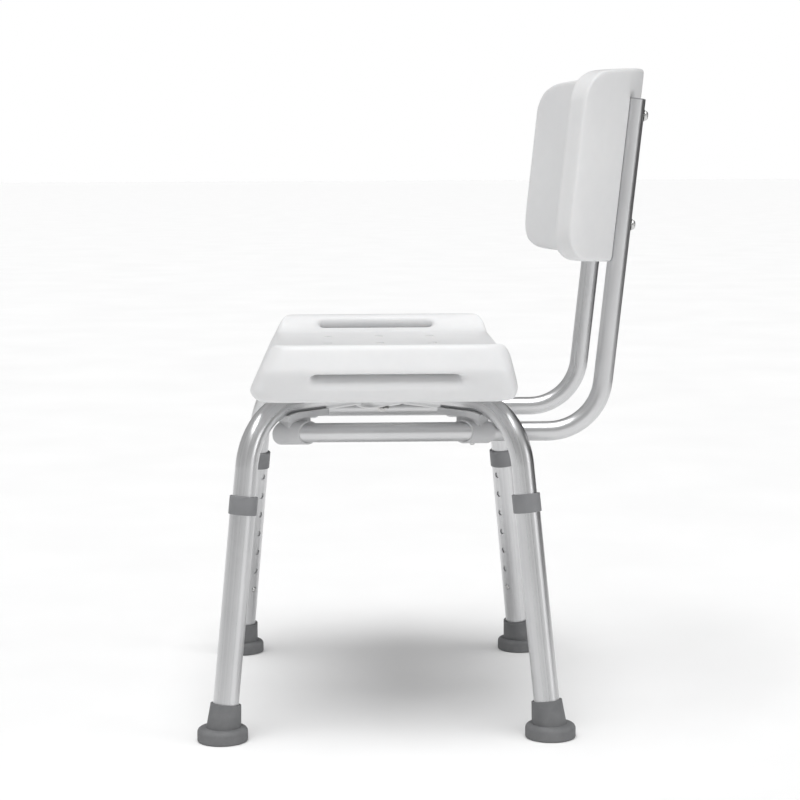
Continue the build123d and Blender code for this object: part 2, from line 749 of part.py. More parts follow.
def make_backrest():
    """Hollow moulded panel with grooves for the uprights and solid columns for its inserts."""
    with BuildPart() as cavity:
        add(panel_form(PANEL_WALL))
        with BuildSketch(back_section(PANEL_LOW - PANEL_CORNER)):
            with Locations((-BACK_TUBE_X, 0), (BACK_TUBE_X, 0)):
                Rectangle(PANEL_PILLAR, 2 * PANEL_WING_R)
        extrude(amount=PANEL_HIGH - PANEL_LOW + 2 * PANEL_CORNER, mode=Mode.SUBTRACT)
    with BuildPart() as backrest:
        add(panel_form(0))
        add(cavity.part, mode=Mode.SUBTRACT)
        with BuildSketch(back_section(PANEL_LOW - PANEL_CORNER)):
            with Locations((-BACK_TUBE_X, 0), (BACK_TUBE_X, 0)):
                Circle(BACK_TUBE_R + TOUCH)
                with Locations((0, PANEL_WING_R / 2)):
                    Rectangle(2 * (BACK_TUBE_R + TOUCH), PANEL_WING_R)
        groove_top = (BACK_TOP - PANEL_LOW + PANEL_CORNER) / cos(radians(RECLINE)) + 2 * PLUG_LIP
        extrude(amount=groove_top, mode=Mode.SUBTRACT)
        for x in (-BACK_TUBE_X, BACK_TUBE_X):
            for bolt_z in BACK_BOLT_HEIGHTS:
                with BuildSketch(back_plane(x, bolt_z, -BACK_TUBE_R / 2)):
                    Circle(INSERT_R)
                extrude(amount=-BACK_TUBE_R / 2 - INSERT_LENGTH, mode=Mode.SUBTRACT)
    save(backrest.part, "backrest")


make_backrest()

back_bolt_planes = [
    (x, height) for x in (-BACK_TUBE_X, BACK_TUBE_X) for height in BACK_BOLT_HEIGHTS
]
head_behind = BACK_TUBE_R + TOUCH + BACK_WASHER + TOUCH

with BuildPart() as backrest_inserts:
    for x, height in back_bolt_planes:
        with BuildSketch(back_plane(x, height, -BACK_TUBE_R - INSERT_LENGTH + TOUCH)):
            Circle(INSERT_R - TOUCH)
            Circle(BOLT_R + TOUCH, mode=Mode.SUBTRACT)
        extrude(amount=INSERT_LENGTH - 2)
save(backrest_inserts.part, "backrest_inserts")

with BuildPart() as back_washers:
    for x, height in back_bolt_planes:
        with BuildSketch(back_plane(x, height, BACK_TUBE_R + TOUCH)):
            Circle(BACK_WASHER_R)
            Circle(BOLT_R + TOUCH, mode=Mode.SUBTRACT)
        extrude(amount=BACK_WASHER)
save(back_washers.part, "back_washers")

with BuildPart() as back_bolts:
    for x, height in back_bolt_planes:
        with BuildSketch(back_plane(x, height, head_behind)):
            Circle(BACK_HEAD_R)
        dome = extrude(amount=BACK_HEAD)
        rear_edge = dome.edges().filter_by(GeomType.CIRCLE).sort_by(Axis.Y)[-1]
        fillet(rear_edge, radius=BACK_HEAD * 0.8)
        with BuildSketch(back_plane(x, height, head_behind + BACK_HEAD - HEX_DEPTH)):
            RegularPolygon(HEX_R, 6)
        extrude(amount=HEX_DEPTH, mode=Mode.SUBTRACT)
        with BuildSketch(back_plane(x, height, head_behind)):
            Circle(BOLT_R)
        extrude(amount=-(head_behind + BACK_TUBE_R + INSERT_LENGTH - BOLT_TIP_GAP))
save(back_bolts.part, "back_bolts")
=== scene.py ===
import json
from math import asin, cos, radians, sin, sqrt, tan

import bpy
from mathutils import Matrix, Vector


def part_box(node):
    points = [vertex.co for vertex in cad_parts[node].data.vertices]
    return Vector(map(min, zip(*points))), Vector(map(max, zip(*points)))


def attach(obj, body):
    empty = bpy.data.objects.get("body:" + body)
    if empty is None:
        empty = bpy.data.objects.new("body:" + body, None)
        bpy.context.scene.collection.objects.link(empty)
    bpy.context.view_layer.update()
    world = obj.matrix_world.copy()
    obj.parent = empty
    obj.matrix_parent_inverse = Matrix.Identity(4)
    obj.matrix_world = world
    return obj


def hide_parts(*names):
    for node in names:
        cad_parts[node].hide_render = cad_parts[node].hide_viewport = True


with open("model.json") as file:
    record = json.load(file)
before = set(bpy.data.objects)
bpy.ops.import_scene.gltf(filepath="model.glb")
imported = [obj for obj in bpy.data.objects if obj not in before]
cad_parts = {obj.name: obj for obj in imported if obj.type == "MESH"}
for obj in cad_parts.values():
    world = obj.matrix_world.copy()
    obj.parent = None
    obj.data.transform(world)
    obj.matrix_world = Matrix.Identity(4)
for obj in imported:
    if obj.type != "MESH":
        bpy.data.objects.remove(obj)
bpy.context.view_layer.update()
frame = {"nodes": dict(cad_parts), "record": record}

MM = 0.001  # every length below is in millimetres unless it says metres
FEET_Y = -49.0  # middle of the four feet
FOOT_X = 211.2  # from a foot's centre to the middle plane
FOOT_Y = 183.0  # from a foot's centre to the middle of the four feet
SEAT_Y = FEET_Y - 1.0  # middle of the seat's plan

# Seat
SEAT_LOW = 379.8
WALL_HALF = 250.0
SHOULDER_Z = 414.0  # parting line of the mould, where the seat is widest
WALL_DRAFT = 0.13  # the wall below it draws in by this share of the drop
CREST_Z = 441.7
CREST_OUT = 237.0
CREST_IN = 229.0
DISH_X = 203.0
DISH_Z = 421.5
DISH_DIP = 1.0
PLAN_CORNER = 27.0
SLOT_Y = (-79.5, 84.5)
SLOT_TOP = 410.2
SLOT_LOW = 397.0
SLOT_RINGS = (0.28, 0.5, 0.8)  # rings inside a slot, as shares of its depth
# The lips of the hand slots slope in like a scoop: how far each ring's low and high sides move.
SLOT_SCOOP = ((0.45, 0.0), (0.3, 0.2), (0.0, 0.55))
SLOT_END = 0.38  # share of their height that the slots lose at each side of their round ends
SLOT_IN = (218.8, 211.4)
SLOT_IN_REAR = 17.0  # the inner openings are this much shorter at the rear
SLOT_IN_FRONT = 4.5
DRAIN_X = (48.0, 144.0)
DRAIN_Y = (-64.0, 0.0, 64.0)
DRAIN_HALF = 4.84
DRAIN_LAND = 8.5  # flat ring that keeps the rounding close to each drain
DRAIN_RINGS = (0.03, 0.5, 0.97)
EDGE_STEP = 9.0
SOLE_LIFT = 2.4  # the underside's edge is rounder than the rest
SEAT_HALF_Y = 147.3  # the plan's widest line at the front and the rear
FRONT_WIDEST_Z = 391.8
FRONT_LEAN = 21 / 49.9  # share of the height by which the front draws in above its widest line
FRONT_TUCK = 7 / 12
REAR_WIDEST_Z = 393.8
REAR_LEAN = 12 / 47.9
REAR_TUCK = 4 / 14
PLAN_ENDS = (112.0, 131.0, 140.0)  # grid lines between the slots and the rear
PLAN_NEAR_FRONT = 108.0  # the first of them is nearer the middle at the front
SLOT_END_CELLS = (4.0, 5.5)  # length of the grid cells that round the slots' front and rear ends
DISH_FLAT_X = 190.0

# Backrest
RECLINE = radians(6.27)
BACK_Y = FEET_Y + 244.0
TUBE_Z = 333.0
TUBE_X = 123.2
TUBE_R = 11.1
PANEL_LOW = 523.5
PANEL_HIGH = 745.5
PANEL_HALF_X = 211.5
LOW_BOW = 7.5  # how far the edges rise or fall from the middle to the sides
HIGH_BOW = 9.0
PANEL_BACK = 20.0
PANEL_THICK = 24.0
MIDDLE_R = 330.0
MIDDLE_ANGLE = radians(20.0)
WING_R = 250.0
WING_ANGLE = radians(27.7)
PANEL_CORNER = 37.0
GROOVE_TOP = 713.3
GROOVE_GAP = 0.4


# Geometry helpers


def mesh_object(name, cage, levels):
    """Subdivision surface over a cage given in millimetres."""
    mesh = bpy.data.meshes.new(name)
    mesh.from_pydata([[c * MM for c in v] for v in cage.vertices], [], cage.faces)
    mesh.validate()
    mesh.polygons.foreach_set("use_smooth", [True] * len(mesh.polygons))
    obj = bpy.data.objects.new(name, mesh)
    bpy.context.scene.collection.objects.link(obj)
    smooth = obj.modifiers.new("subdivision", "SUBSURF")
    smooth.levels = levels
    smooth.render_levels = levels
    return obj


class Cage:
    """Vertices and quads, with vertices looked up by key."""

    def __init__(self):
        self.vertices = []
        self.faces = []
        self.index = {}

    def vertex(self, key, place):
        if key not in self.index:
            self.index[key] = len(self.vertices)
            self.vertices.append(tuple(place))
        return self.index[key]

    def quad(self, *keys):
        corners = [self.index[k] for k in keys]
        if len(set(corners)) > 2:
            self.faces.append(list(dict.fromkeys(corners)))

    def tunnel(self, name, first, second, steps):
        """Quads from one loop of keys to another, with rings between them at the given shares."""
        a = [Vector(self.vertices[self.index[k]]) for k in first]
        b = [Vector(self.vertices[self.index[k]]) for k in second]
        rings = [first]
        for n, share in enumerate(steps):
            ring = [(name, n, m) for m in range(len(first))]
            for m, key in enumerate(ring):
                self.vertex(key, a[m].lerp(b[m], share))
            rings.append(ring)
        rings.append(second)
        for low, high in zip(rings, rings[1:]):
            for m in range(len(first)):
                n = (m + 1) % len(first)
                self.quad(low[m], low[n], high[n], high[m])

    def scoop(self, name, count, shares):
        """Narrows a flat tunnel: at each ring its low and high sides move by a share of the gap."""
        for n, (low_share, high_share) in enumerate(shares):
            for m in range(count // 2):
                pair = [self.index[(name, n, m)], self.index[(name, n, count - 1 - m)]]
                pair.sort(key=lambda index: self.vertices[index][2])
                low, high = [Vector(self.vertices[index]) for index in pair]
                self.vertices[pair[0]] = tuple(low.lerp(high, low_share))
                self.vertices[pair[1]] = tuple(high.lerp(low, high_share))


def smoothstep(t):
    t = min(1.0, max(0.0, t))
    return t * t * (3 - 2 * t)


def soften_corner(x, y, half_x, half_y, radius):
    """Moves a point of a rectangle onto the same rectangle with round corners."""
    a = (abs(x) - (half_x - radius)) / radius
    b = (abs(y) - (half_y - radius)) / radius
    if a <= 0 or b <= 0:
        return x, y
    out_a = a * sqrt(1 - b * b / 2)
    out_b = b * sqrt(1 - a * a / 2)
    new_x = half_x - radius + radius * out_a
    new_y = half_y - radius + radius * out_b
    return (new_x if x > 0 else -new_x), (new_y if y > 0 else -new_y)


# Seat


def seat_front(z):
    """Distance of the seat's front from its middle at a height."""
    if z > FRONT_WIDEST_Z:
        return SEAT_HALF_Y - (z - FRONT_WIDEST_Z) * FRONT_LEAN
    return SEAT_HALF_Y - (FRONT_WIDEST_Z - z) * FRONT_TUCK


def seat_rear(z):
    """Distance of the seat's rear from its middle at a height."""
    if z > REAR_WIDEST_Z:
        return SEAT_HALF_Y - (z - REAR_WIDEST_Z) * REAR_LEAN
    return SEAT_HALF_Y - (REAR_WIDEST_Z - z) * REAR_TUCK


def seat_side(z):
    """Distance of the seat's side wall from the middle plane at a height."""
    if z > SHOULDER_Z:
        return WALL_HALF - (z - SHOULDER_Z) * (WALL_HALF - CREST_OUT) / (CREST_Z - SHOULDER_Z)
    return WALL_HALF - (SHOULDER_Z - z) * WALL_DRAFT


# Heights of the wall's rows at the rims and at the dish. The dish's front edge falls away more.
RIM_ROWS = (443.2, 433.0, 420.0, 415.5, SLOT_TOP, SLOT_LOW, FRONT_WIDEST_Z, 385.5, SEAT_LOW)
DISH_ROWS = (422.0, 419.0, 415.5, 411.5, 407.5, SLOT_LOW, FRONT_WIDEST_Z, 385.5, SEAT_LOW)
FALL = (14.0, 10.0, 6.0, 3.0, 0.0, 0.0, 0.0, 0.0, 0.0)


def dished(x):
    """0 in the dish and 1 on the rims."""
    return smoothstep((abs(x) - DISH_X) / (CREST_IN - DISH_X))


def dish_height(x):
    """Height of the seat's top over the width."""
    x = abs(x)
    if x >= CREST_IN:
        return RIM_ROWS[0]
    if x >= DISH_X:
        return DISH_Z + (RIM_ROWS[0] - DISH_Z) * (x - DISH_X) / (CREST_IN - DISH_X)
    return DISH_Z - DISH_DIP * (1 - (x / DISH_X) ** 2)


def row_height(k, x):
    """Height of a wall row: the rows sink with the dish where it runs out to the front and rear."""
    return DISH_ROWS[k] + (RIM_ROWS[k] - DISH_ROWS[k]) * dished(x)


def slot_shift(i, y, columns):
    """How far a point of the top moves along the seat, to make the inner openings shorter."""
    share = columns.get(i, 0.0)
    if y > SLOT_Y[1]:
        return -share * SLOT_IN_REAR * max(0.0, PLAN_ENDS[1] - y) / (PLAN_ENDS[1] - SLOT_Y[1])
    if y > 0:
        return -share * SLOT_IN_REAR * smoothstep(y / SLOT_Y[1])
    if y > SLOT_Y[0]:
        return share * SLOT_IN_FRONT * smoothstep(y / SLOT_Y[0])
    return share * SLOT_IN_FRONT * max(0.0, PLAN_ENDS[1] + y) / (PLAN_ENDS[1] + SLOT_Y[0])


SHIFT_SHARES = ((SLOT_IN[0], 1.0), (SLOT_IN[1], 1.0), (CREST_IN, 0.4), (DISH_X, 0.5))


def seat_lines():
    """The x and y of the grid lines of the seat's plan."""
    near, middle_end, far = PLAN_ENDS
    front_cell, rear_cell = SLOT_END_CELLS
    inner_x = [CREST_IN, SLOT_IN[0], SLOT_IN[1], DISH_X, DISH_FLAT_X]
    for middle in sorted(DRAIN_X, reverse=True):
        inner_x += [middle + step for step in (DRAIN_LAND, DRAIN_HALF, -DRAIN_HALF, -DRAIN_LAND)]
    xs = [-CREST_OUT] + [-x for x in inner_x] + inner_x[::-1] + [CREST_OUT]
    ys = [-far, -middle_end, -PLAN_NEAR_FRONT, SLOT_Y[0], SLOT_Y[0] + front_cell]
    for middle in DRAIN_Y:
        ys += [middle + step for step in (-DRAIN_LAND, -DRAIN_HALF, DRAIN_HALF, DRAIN_LAND)]
    ys += [SLOT_Y[1] - rear_cell, SLOT_Y[1], near, middle_end, far]
    return xs, ys


def seat_cage():
    """Cage of the hollow seat's skin, with slots through its sides and drains through its dish."""
    xs, ys = seat_lines()
    nx, ny = len(xs), len(ys)
    cage = Cage()
    columns = {}
    for sign in (-1, 1):
        for x, share in SHIFT_SHARES:
            columns[xs.index(sign * x)] = share
    first_slot, last_slot = ys.index(SLOT_Y[0]), ys.index(SLOT_Y[1])
    slot_ends = (first_slot, last_slot)
    slot_row = RIM_ROWS.index(SLOT_TOP)

    def outline(i, j, k):
        """A point on wall row k above grid point i, j of the plan."""
        x = xs[i]
        z = row_height(k, x)
        side, rear = seat_side(z), seat_rear(z)
        front = seat_front(z + FALL[k] * (1 - dished(x)))
        if i in (0, nx - 1):
            x = -side if i == 0 else side
        elif i in (1, nx - 2):
            x = (side - EDGE_STEP) * (-1 if i == 1 else 1)
        y = ys[j]
        if j == 0:
            y = -front
        elif j == 1:
            y = -front + EDGE_STEP
        elif j == ny - 1:
            y = rear
        elif j == ny - 2:
            y = rear - EDGE_STEP
        if k == last and (i in (0, nx - 1) or j in (0, ny - 1)):
            z += SOLE_LIFT
        if i in (0, nx - 1) and j in slot_ends and k in (slot_row, slot_row + 1):
            z += ((SLOT_TOP + SLOT_LOW) / 2 - z) * SLOT_END
        half_y = front if y < 0 else rear
        x, y = soften_corner(x, y, side, half_y, PLAN_CORNER)
        return x, y + SEAT_Y, z

    last = len(RIM_ROWS) - 1
    for i in range(nx):
        for j in range(ny):
            x, y, z = outline(i, j, 0)
            if 0 < i < nx - 1 and 0 < j < ny - 1:
                z = dish_height(xs[i]) if 1 < i < nx - 2 else RIM_ROWS[0]
                y += slot_shift(i, ys[j], columns)
                if j in slot_ends and abs(x) in SLOT_IN:
                    middle = (SLOT_IN[0] + SLOT_IN[1]) / 2 * (1 if x > 0 else -1)
                    x += (middle - x) * SLOT_END
                    z = dish_height(x)
            cage.vertex((i, j, 0), (x, y, z))
            x, y, z = outline(i, j, last)
            cage.vertex((i, j, last), (x, y, z))
    border = [(i, 0) for i in range(nx)] + [(nx - 1, j) for j in range(1, ny)]
    border += [(i, ny - 1) for i in range(nx - 2, -1, -1)] + [(0, j) for j in range(ny - 2, 0, -1)]
    for i, j in border:
        for k in range(1, last):
            cage.vertex((i, j, k), outline(i, j, k))

    slot_cells = range(first_slot, last_slot)
    slot_columns = (xs.index(-SLOT_IN[0]), xs.index(SLOT_IN[1]))
    drain_columns = [xs.index(s * m - DRAIN_HALF) for m in DRAIN_X for s in (-1, 1)]
    drain_rows = [ys.index(m - DRAIN_HALF) for m in DRAIN_Y]
    for i in range(nx - 1):
        for j in range(ny - 1):
            drain = i in drain_columns and j in drain_rows
            if not drain and not (i in slot_columns and j in slot_cells):
                cage.quad((i, j, 0), (i + 1, j, 0), (i + 1, j + 1, 0), (i, j + 1, 0))
            if not drain:
                cage.quad((i, j, last), (i, j + 1, last), (i + 1, j + 1, last), (i + 1, j, last))
            if drain:
                loop = [(i, j), (i, j + 1), (i + 1, j + 1), (i + 1, j)]
                top = [(a, b, 0) for a, b in loop]
                low = [(a, b, last) for a, b in loop]
                cage.tunnel(f"drain_{i}_{j}", top, low, DRAIN_RINGS)
    for (i, j), (p, q) in zip(border, border[1:] + border[:1]):
        for k in range(last):
            on_side = i == p and i in (0, nx - 1)
            if on_side and k == slot_row and min(j, q) in slot_cells:
                continue
            cage.quad((i, j, k), (i, j, k + 1), (p, q, k + 1), (p, q, k))
    for side_column, upper, lower in (
        (0, xs.index(-SLOT_IN[0]), xs.index(-SLOT_IN[1])),
        (nx - 1, xs.index(SLOT_IN[0]), xs.index(SLOT_IN[1])),
    ):
        rows = list(range(first_slot, last_slot + 1))
        outer = [(side_column, j, slot_row) for j in rows]
        outer += [(side_column, j, slot_row + 1) for j in reversed(rows)]
        inner = [(upper, j, 0) for j in rows] + [(lower, j, 0) for j in reversed(rows)]
        if side_column:
            outer.reverse()
            inner.reverse()
        cage.tunnel(f"slot_{side_column}", outer, inner, SLOT_RINGS)
        cage.scoop(f"slot_{side_column}", len(outer), SLOT_SCOOP)
    return cage


def make_seat(material):
    cage = seat_cage()
    seat = mesh_object("moulded_seat", cage, 2)
    seat.data.materials.append(material)
    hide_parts("seat")
    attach(seat, "frame")


# Backrest


def panel_point(arc, z, depth):
    """Point of the backrest at an arc length from the middle, a height and a depth from the rear."""
    side = -1 if arc < 0 else 1
    arc = abs(arc)
    middle_arc = MIDDLE_R * MIDDLE_ANGLE
    if arc <= middle_arc:
        angle = arc / MIDDLE_R
        x = (MIDDLE_R - depth) * sin(angle)
        y = PANEL_BACK - MIDDLE_R + (MIDDLE_R - depth) * cos(angle)
    else:
        angle = MIDDLE_ANGLE + (arc - middle_arc) / WING_R
        shift = MIDDLE_R - WING_R
        x = shift * sin(MIDDLE_ANGLE) + (WING_R - depth) * sin(angle)
        y = PANEL_BACK - MIDDLE_R + shift * cos(MIDDLE_ANGLE) + (WING_R - depth) * cos(angle)
    height = z + y * sin(RECLINE) - TUBE_Z
    return side * x, BACK_Y + height * tan(RECLINE) + y * cos(RECLINE), z


ARC_END = MIDDLE_R * MIDDLE_ANGLE + WING_R * WING_ANGLE
DEPTHS = (0.0, 7.0, 17.0, PANEL_THICK)


def tube_arc(x):
    """Arc length on the rear face at which it crosses a distance from the middle."""
    middle_arc = MIDDLE_R * MIDDLE_ANGLE
    shift = (MIDDLE_R - WING_R) * sin(MIDDLE_ANGLE)
    return middle_arc + WING_R * (asin((x - shift) / WING_R) - MIDDLE_ANGLE)


GROOVE_OFFSETS = (-19.0, -12.0, -9.5, 0.0, 9.5, 12.0, 19.0)
GROOVE_FLOOR = (2, 3, 4)


def bowed(x, z):
    """Height on the panel whose top and bottom edges bow outwards in the middle."""
    share = (x / PANEL_HALF_X) ** 2
    high = PANEL_HIGH - HIGH_BOW * share
    low = PANEL_LOW + LOW_BOW * share
    return low + (high - low) * (z - PANEL_LOW) / (PANEL_HIGH - PANEL_LOW)


def backrest_cage():
    """Cage of the hollow backrest's skin, with grooves in its rear for the uprights."""
    groove = [tube_arc(TUBE_X + offset) for offset in GROOVE_OFFSETS]
    half = [18.0, 48.0, 80.0] + groove
    half += [ARC_END - 42.0, ARC_END - 24.0, ARC_END - EDGE_STEP, ARC_END]
    arcs = [-a for a in reversed(half)] + half
    heights = [PANEL_LOW, PANEL_LOW + EDGE_STEP, PANEL_LOW + 24.0, PANEL_LOW + 48.0, 610.0, 650.0]
    heights += [PANEL_HIGH - 62.0, PANEL_HIGH - 46.0, GROOVE_TOP - 2.0, GROOVE_TOP + 2.5]
    heights += [PANEL_HIGH - 21.0, PANEL_HIGH - EDGE_STEP, PANEL_HIGH]
    na, nh, nd = len(arcs), len(heights), len(DEPTHS)
    middle_z = (PANEL_LOW + PANEL_HIGH) / 2
    half_z = (PANEL_HIGH - PANEL_LOW) / 2
    first = half.index(groove[0])
    cage = Cage()

    def groove_point(i, z):
        """Point on the floor of the groove that takes the upright, or None outside it."""
        column = (i - len(half) if arcs[i] > 0 else len(half) - 1 - i) - first
        if column not in GROOVE_FLOOR:
            return None
        offset = GROOVE_OFFSETS[column]
        reach = sqrt((TUBE_R + GROOVE_GAP) ** 2 - offset**2) / cos(RECLINE)
        side = 1 if arcs[i] > 0 else -1
        return side * (TUBE_X + offset), BACK_Y + (z - TUBE_Z) * tan(RECLINE) - reach, z

    def place(i, j, row):
        arc, z = soften_corner(arcs[i], heights[j] - middle_z, ARC_END, half_z, PANEL_CORNER)
        x = panel_point(arc, middle_z, 0.0)[0]
        z = bowed(x, z + middle_z)
        sunk = groove_point(i, z)
        if sunk is None or heights[j] > GROOVE_TOP or row == nd - 1:
            return panel_point(arc, z, DEPTHS[row])
        front = Vector(panel_point(arc, z, PANEL_THICK))
        return Vector(sunk).lerp(front, DEPTHS[row] / PANEL_THICK)

    border = [(i, 0) for i in range(na)] + [(na - 1, j) for j in range(1, nh)]
    border += [(i, nh - 1) for i in range(na - 2, -1, -1)] + [(0, j) for j in range(nh - 2, 0, -1)]
    for i in range(na):
        for j in range(nh):
            cage.vertex((i, j, 0), place(i, j, 0))
            cage.vertex((i, j, nd - 1), place(i, j, nd - 1))
    for i, j in border:
        for k in range(1, nd - 1):
            cage.vertex((i, j, k), place(i, j, k))
    back = nd - 1
    for i in range(na - 1):
        for j in range(nh - 1):
            cage.quad((i, j, 0), (i, j + 1, 0), (i + 1, j + 1, 0), (i + 1, j, 0))
            cage.quad((i, j, back), (i + 1, j, back), (i + 1, j + 1, back), (i, j + 1, back))
    for (i, j), (p, q) in zip(border, border[1:] + border[:1]):
        for k in range(nd - 1):
            cage.quad((i, j, k), (p, q, k), (p, q, k + 1), (i, j, k + 1))
    return cage


def make_backrest(material):
    cage = backrest_cage()
    panel = mesh_object("moulded_backrest", cage, 3)
    panel.data.materials.append(material)
    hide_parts("backrest")
    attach(panel, "back_frame")


# Materials


class Finish:
    """A node material built up round one Principled shader, in the object's own coordinates."""

    def __init__(self, name, metallic=0.0):
        self.material = bpy.data.materials.new(name)
        self.material.use_nodes = True
        self.tree = self.material.node_tree
        self.tree.nodes.clear()
        self.shader = self.node("ShaderNodeBsdfPrincipled")
        self.shader.inputs["Metallic"].default_value = metallic
        output = self.node("ShaderNodeOutputMaterial")
        self.join(self.shader.outputs["BSDF"], output.inputs["Surface"])
        self.place = self.node("ShaderNodeTexCoord").outputs["Object"]
        self.normal = None

    def node(self, kind):
        return self.tree.nodes.new(kind)

    def join(self, source, target):
        self.tree.links.new(source, target)

    def noise(self, scale, detail=3.0, roughness=0.5, stretch=None):
        """Noise at a scale per metre, drawn out along the axes by stretch."""
        noise = self.node("ShaderNodeTexNoise")
        noise.inputs["Scale"].default_value = scale
        noise.inputs["Detail"].default_value = detail
        noise.inputs["Roughness"].default_value = roughness
        source = self.place
        if stretch:
            mapping = self.node("ShaderNodeMapping")
            mapping.inputs["Scale"].default_value = stretch
            self.join(self.place, mapping.inputs["Vector"])
            source = mapping.outputs["Vector"]
        self.join(source, noise.inputs["Vector"])
        return noise.outputs["Fac"]

    def streaks(self, across, scale, detail=4.0):
        """Noise that changes along one direction only, so its lines follow a tube's bends."""
        dot = self.node("ShaderNodeVectorMath")
        dot.operation = "DOT_PRODUCT"
        dot.inputs[1].default_value = across
        self.join(self.place, dot.inputs[0])
        noise = self.node("ShaderNodeTexNoise")
        noise.noise_dimensions = "1D"
        noise.inputs["Scale"].default_value = scale
        noise.inputs["Detail"].default_value = detail
        noise.inputs["Roughness"].default_value = 0.65
        self.join(dot.outputs["Value"], noise.inputs["W"])
        return noise.outputs["Fac"]

    def spread(self, value, low, high, source=(0.3, 0.7)):
        """The noise's usual values spread between two numbers."""
        ranged = self.node("ShaderNodeMapRange")
        ranged.inputs["From Min"].default_value = source[0]
        ranged.inputs["From Max"].default_value = source[1]
        ranged.inputs["To Min"].default_value = low
        ranged.inputs["To Max"].default_value = high
        self.join(value, ranged.inputs["Value"])
        return ranged.outputs["Result"]

    def mix(self, share, first, second):
        """A colour between two by a share."""
        mix = self.node("ShaderNodeMix")
        mix.data_type = "RGBA"
        self.join(share, mix.inputs["Factor"])
        for socket, colour in (("A", first), ("B", second)):
            target = [s for s in mix.inputs if s.name == socket and s.type == "RGBA"][0]
            if isinstance(colour, tuple):
                target.default_value = (*colour, 1.0)
            else:
                self.join(colour, target)
        return [s for s in mix.outputs if s.type == "RGBA"][0]

    def add(self, first, second, share):
        """First plus a share of second."""
        total = self.node("ShaderNodeMath")
        total.operation = "MULTIPLY_ADD"
        self.join(second, total.inputs[0])
        total.inputs[1].default_value = share
        self.join(first, total.inputs[2])
        return total.outputs["Value"]

    def colour(self, value):
        self.join(value, self.shader.inputs["Base Color"])

    def roughness(self, value):
        self.join(value, self.shader.inputs["Roughness"])

    def bump(self, height, distance, strength=1.0):
        bump = self.node("ShaderNodeBump")
        bump.inputs["Strength"].default_value = strength
        bump.inputs["Distance"].default_value = distance
        self.join(height, bump.inputs["Height"])
        if self.normal is not None:
            self.join(self.normal, bump.inputs["Normal"])
        self.normal = bump.outputs["Normal"]
        self.join(self.normal, self.shader.inputs["Normal"])


def moulded_plastic():
    """White blow-moulded polyethylene: satin, with a fine leathery grain and slight flow clouds."""
    finish = Finish("moulded_plastic")
    finish.shader.inputs["Subsurface Weight"].default_value = 0.25
    finish.shader.inputs["Subsurface Radius"].default_value = (1.0, 0.9, 0.85)
    finish.shader.inputs["Subsurface Scale"].default_value = 0.006
    clouds = finish.noise(5.0, 3.0)
    specks = finish.noise(70.0, 4.0, 0.6)
    tone = finish.add(clouds, specks, 0.35)
    share = finish.spread(tone, 0.0, 1.0, (0.45, 0.9))
    finish.colour(finish.mix(share, (0.70, 0.703, 0.71), (0.755, 0.757, 0.76)))
    grain = finish.noise(900.0, 2.0, 0.6)
    finish.roughness(finish.spread(finish.add(clouds, grain, 0.4), 0.36, 0.52, (0.5, 0.9)))
    finish.bump(finish.noise(12.0, 2.0), 0.0012, 0.25)
    finish.bump(grain, 0.00012, 0.5)
    return finish.material


def anodised_tube(name, across):
    """Clear anodised aluminium tube with die lines along its length."""
    finish = Finish(name, 1.0)
    lines = finish.streaks(across, 620.0, 6.0)
    broad = finish.streaks(across, 90.0, 2.0)
    haze = finish.noise(14.0, 3.0)
    grain = finish.noise(1500.0, 2.0, 0.7)
    tone = finish.add(lines, haze, 0.8)
    share = finish.spread(tone, 0.0, 1.0, (0.55, 1.2))
    finish.colour(finish.mix(share, (0.56, 0.563, 0.57), (0.67, 0.672, 0.678)))
    mixed = finish.add(finish.add(lines, broad, 0.7), grain, 0.4)
    finish.roughness(finish.spread(mixed, 0.24, 0.40, (0.75, 1.35)))
    finish.bump(lines, 0.00003, 0.6)
    finish.bump(grain, 0.00002, 0.5)
    return finish.material


def moulded_nylon(name, dark, light):
    """Injection-moulded plastic with a spark-eroded texture."""
    finish = Finish(name)
    clouds = finish.noise(30.0, 3.0)
    grain = finish.noise(2200.0, 2.0, 0.6)
    share = finish.spread(finish.add(clouds, grain, 0.3), 0.0, 1.0, (0.4, 0.9))
    finish.colour(finish.mix(share, dark, light))
    finish.roughness(finish.spread(finish.add(grain, clouds, 0.5), 0.42, 0.62, (0.5, 1.0)))
    finish.bump(grain, 0.00008, 0.6)
    return finish.material


def foot_rubber():
    """Grey moulded rubber, slightly dusty, with a fine matt skin."""
    finish = Finish("foot_rubber")
    dust = finish.noise(40.0, 5.0, 0.65)
    skin = finish.noise(1600.0, 3.0, 0.6)
    flow = finish.noise(9.0, 2.0, 0.5, (1.0, 1.0, 6.0))
    share = finish.spread(finish.add(dust, flow, 0.4), 0.0, 1.0, (0.45, 0.95))
    finish.colour(finish.mix(share, (0.125, 0.128, 0.132), (0.185, 0.187, 0.19)))
    finish.roughness(finish.spread(finish.add(skin, dust, 0.5), 0.62, 0.85, (0.5, 1.0)))
    finish.bump(skin, 0.0001, 0.6)
    finish.bump(dust, 0.0004, 0.2)
    return finish.material


def plain_metal(name, dark, light, rough):
    """Plated or turned metal with faint blotches and fine scratches."""
    finish = Finish(name, 1.0)
    blotch = finish.noise(120.0, 4.0, 0.6)
    scratch = finish.noise(900.0, 3.0, 0.6, (1.0, 0.15, 1.0))
    share = finish.spread(finish.add(blotch, scratch, 0.4), 0.0, 1.0, (0.45, 0.95))
    finish.colour(finish.mix(share, dark, light))
    mixed = finish.add(scratch, blotch, 0.4)
    finish.roughness(finish.spread(mixed, rough - 0.07, rough + 0.09, (0.45, 0.95)))
    finish.bump(scratch, 0.00003, 0.5)
    return finish.material


